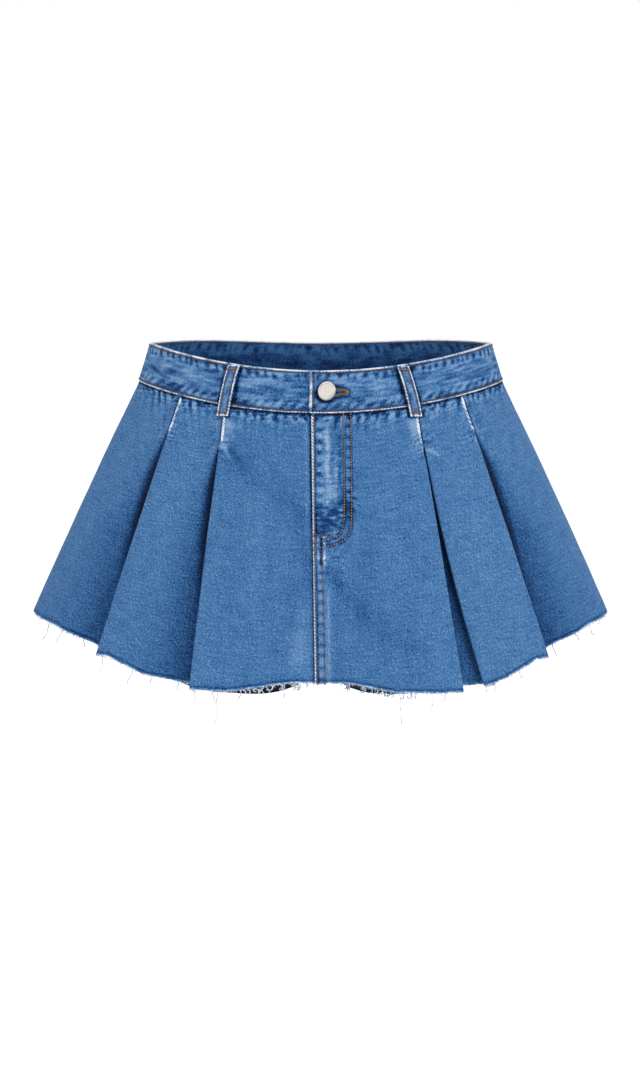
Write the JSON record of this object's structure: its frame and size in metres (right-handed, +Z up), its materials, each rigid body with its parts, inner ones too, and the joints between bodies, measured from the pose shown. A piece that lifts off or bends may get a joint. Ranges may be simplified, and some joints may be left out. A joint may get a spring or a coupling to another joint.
{
  "type": "pleated denim skort",
  "caption": "Pleated denim skort with a contour waistband, jeans button, belt loops, raw hem and inner shorts, standing open as worn.",
  "frame": {"origin": "centre of the waist opening, level with the waistband's top edge at the hips", "axes": "+Z up, +X to the wearer's left, the front faces -Y"},
  "size_m": [0.5462, 0.3681, 0.3062],
  "materials": {
    "denim": "faded blue denim twill",
    "faded_denim": "faded blue denim, puckered and worn at its edges",
    "shorts_cloth": "plain dark navy woven cloth",
    "button_metal": "warm silver, concentric rings"
  },
  "bodies": {
    "root": {"front_panel_left": "denim", "front_panel_right": "denim", "back_panel_left": "denim", "back_panel_right": "denim", "waistband_left": "faded_denim", "waistband_right": "faded_denim", "belt_loop_front_left": "faded_denim", "belt_loop_front_right": "faded_denim", "belt_loop_back_left": "faded_denim", "belt_loop_back_right": "faded_denim", "belt_loop_back_centre": "faded_denim", "shorts_leg_left": "shorts_cloth", "shorts_leg_right": "shorts_cloth", "button": "button_metal", "button_tack": "button_metal"}
  },
  "joints": []
}
